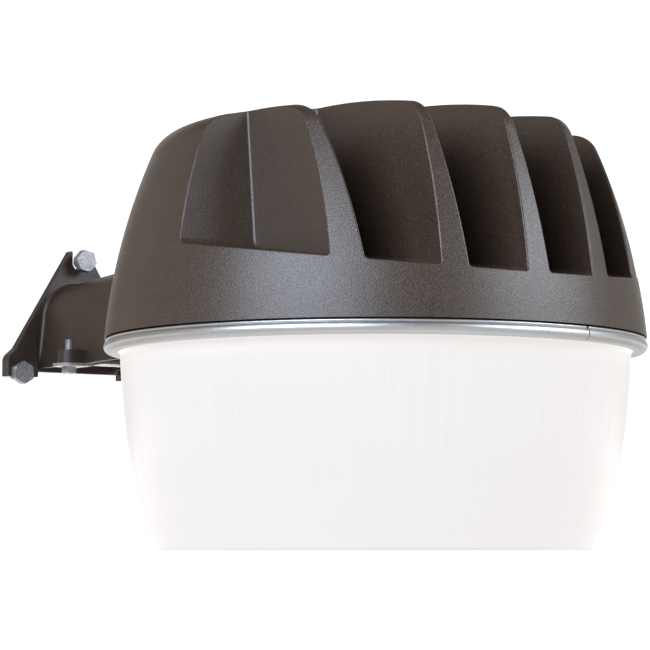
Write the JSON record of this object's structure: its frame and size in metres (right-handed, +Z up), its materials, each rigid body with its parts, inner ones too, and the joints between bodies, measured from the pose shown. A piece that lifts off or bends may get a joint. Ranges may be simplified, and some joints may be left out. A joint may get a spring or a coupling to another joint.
{
  "type": "area light",
  "caption": "Outdoor area light: cast dome with a finned front, drop lens with a bright trim band, and a horizontal arm with a pipe clamp and notched wall plate.",
  "frame": {"origin": "centre of the pipe entry, on the wall plane at the back of the wall plate", "axes": "+Z up, +Y into the wall along the pipe, -Y to the light's front, +X to the right seen from the front"},
  "size_m": [0.29, 0.481, 0.2336],
  "materials": {
    "bronze_coat": "fine textured dark bronze powder coat",
    "black_rubber": "matte moulded rubber",
    "zinc_steel": "zinc plated steel",
    "bright_band": "bright rolled aluminium",
    "white_lens": "white prismatic acrylic with fine vertical flutes",
    "grey_foam": "closed cell silicone",
    "plain_aluminium": "mill finish",
    "white_board": "white solder mask on an aluminium core",
    "yellow_phosphor": "phosphor and silicone",
    "white_plastic": "moulded nylon",
    "white_paint": "white reflective paint",
    "driver_case": "grey painted case",
    "green_steel": "green passivated steel",
    "black_plastic": "moulded plastic",
    "clear_window": "clear polycarbonate",
    "black_wire": "wire insulation",
    "white_wire": "wire insulation",
    "green_wire": "wire insulation",
    "red_wire": "wire insulation"
  },
  "bodies": {
    "fixture": {"housing_dome": "bronze_coat", "mounting_arm": "bronze_coat", "wall_plate": "bronze_coat", "pipe_saddle": "bronze_coat", "pipe_stop": "bronze_coat", "clamp_lug_left": "bronze_coat", "clamp_lug_right": "bronze_coat", "arm_gasket": "black_rubber", "arm_wire_bushing": "black_rubber", "arm_screws": "zinc_steel", "trim_band": "bright_band", "lens_refractor": "white_lens", "lens_gasket": "grey_foam", "gear_plate": "plain_aluminium", "gear_plate_screws": "zinc_steel", "thermal_pad": "grey_foam", "led_board": "white_board", "led_emitters": "yellow_phosphor", "led_board_screws": "zinc_steel", "board_socket": "white_plastic", "board_plug": "white_plastic", "reflector_pan": "white_paint", "plate_wire_bushing": "black_rubber", "led_driver": "driver_case", "driver_screws": "zinc_steel", "surge_protector": "black_plastic", "terminal_block": "white_plastic", "terminal_screws": "zinc_steel", "ground_screw": "green_steel", "photocell_body": "black_plastic", "photocell_window": "clear_window", "photocell_seal": "black_rubber", "photocell_nut": "black_plastic", "supply_lead_black": "black_wire", "supply_lead_white": "white_wire", "ground_lead_green": "green_wire", "driver_lead_black": "black_wire", "driver_lead_white": "white_wire", "led_lead_red": "red_wire", "led_lead_black": "black_wire"},
    "clamp_strap": {"clamp_strap": "zinc_steel"},
    "clamp_screw_left": {"clamp_screw_left": "zinc_steel"},
    "clamp_screw_right": {"clamp_screw_right": "zinc_steel"},
    "wall_bolt_top": {"wall_bolt_top": "zinc_steel"},
    "wall_bolt_left": {"wall_bolt_left": "zinc_steel"},
    "wall_bolt_right": {"wall_bolt_right": "zinc_steel"}
  },
  "joints": [
    {"name": "clamp_strap_travel", "type": "slide", "parent": "fixture", "child": "clamp_strap", "axis": [0, 0, -1], "range_m": [0, 0.0105]},
    {"name": "clamp_screw_left_turn", "type": "hinge", "parent": "clamp_strap", "child": "clamp_screw_left", "pos_m": [-0.035, -0.058, -0.026], "axis": [0, 0, -1], "range_deg": [0, 3575]},
    {"name": "clamp_screw_right_turn", "type": "hinge", "parent": "clamp_strap", "child": "clamp_screw_right", "pos_m": [0.035, -0.058, -0.026], "axis": [0, 0, -1], "range_deg": [0, 3575]},
    {"name": "wall_bolt_top_travel", "type": "slide", "parent": "fixture", "child": "wall_bolt_top", "axis": [0, -1, 0], "range_m": [-0.0048, 0.004]},
    {"name": "wall_bolt_left_travel", "type": "slide", "parent": "fixture", "child": "wall_bolt_left", "axis": [0, -1, 0], "range_m": [0, 0.01]},
    {"name": "wall_bolt_right_travel", "type": "slide", "parent": "fixture", "child": "wall_bolt_right", "axis": [0, -1, 0], "range_m": [0, 0.01]}
  ],
  "couplings": [
    {"joint": "clamp_screw_left_turn", "follows": "clamp_strap_travel", "rad_per_m": 5937.1},
    {"joint": "clamp_screw_right_turn", "follows": "clamp_strap_travel", "rad_per_m": 5937.1}
  ]
}
